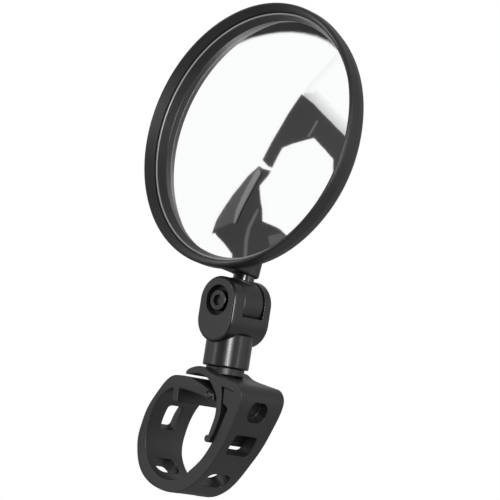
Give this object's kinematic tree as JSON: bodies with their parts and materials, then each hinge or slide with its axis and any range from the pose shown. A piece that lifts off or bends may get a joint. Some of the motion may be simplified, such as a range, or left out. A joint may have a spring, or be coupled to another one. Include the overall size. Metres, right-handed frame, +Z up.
{
  "type": "bicycle handlebar mirror",
  "caption": "Round convex bicycle mirror in a black shell on a swivel pin, a tilting knuckle and a turning stem, held to the handlebar by a slotted rubber strap.",
  "frame": {"origin": "on the handlebar axis, at the middle of the strap's width", "axes": "+Z up along the stem axis, Y along the handlebar with -Y the way the mirror looks, +X towards the side where the strap is fixed to the buckle"},
  "size_m": [0.0795, 0.0238, 0.1447],
  "materials": {
    "mirror_glass": "polished convex mirror",
    "gasket_rubber": "matte",
    "bezel_plastic": "satin black moulding",
    "shell_plastic": "satin black moulding",
    "bush_polymer": "natural low-friction polymer",
    "pin_black": "polished black",
    "spring_steel": "plain spring steel",
    "tongue_plastic": "fine moulded black",
    "fork_plastic": "satin to glossy black moulding",
    "friction_fibre": "fibre",
    "washer_steel": "blackened",
    "screw_steel": "black oxide",
    "nut_steel": "zinc plated",
    "insert_brass": "plain brass",
    "buckle_plastic": "fine moulded black",
    "swivel_screw_steel": "zinc plated",
    "washer_polymer": "natural low-friction polymer",
    "anchor_steel": "plain steel",
    "strap_rubber": "matte flexible rubber",
    "latch_steel": "plain steel"
  },
  "bodies": {
    "strap_base": {"strap": "strap_rubber", "strap_buckle": "buckle_plastic", "anchor_pin": "anchor_steel", "latch_pin": "latch_steel"},
    "stem": {"fork_body": "fork_plastic", "friction_discs": "friction_fibre", "screw_washer": "washer_steel", "hinge_screw": "screw_steel", "hinge_nut": "nut_steel", "stem_insert": "insert_brass", "swivel_screw": "swivel_screw_steel", "swivel_washer": "washer_polymer"},
    "tongue": {"knuckle_tongue": "tongue_plastic", "swivel_pin": "pin_black", "pin_clip": "spring_steel"},
    "head": {"head_shell": "shell_plastic", "front_bezel": "bezel_plastic", "mirror_glass": "mirror_glass", "glass_gasket": "gasket_rubber", "neck_bush": "bush_polymer"}
  },
  "joints": [
    {"name": "base_swivel", "type": "hinge", "parent": "strap_base", "child": "stem", "pos_m": [0.0088, 0, 0.02315], "axis": [0, 0, 1], "continuous": true},
    {"name": "knuckle_tilt", "type": "hinge", "parent": "stem", "child": "tongue", "pos_m": [0.0088, 0, 0.04195], "axis": [0, 1, 0], "range_deg": [-85, 80]},
    {"name": "head_swivel", "type": "hinge", "parent": "tongue", "child": "head", "pos_m": [0.0088, 0.0008, 0.04195], "axis": [0, 0.129, 0.9916], "continuous": true}
  ]
}
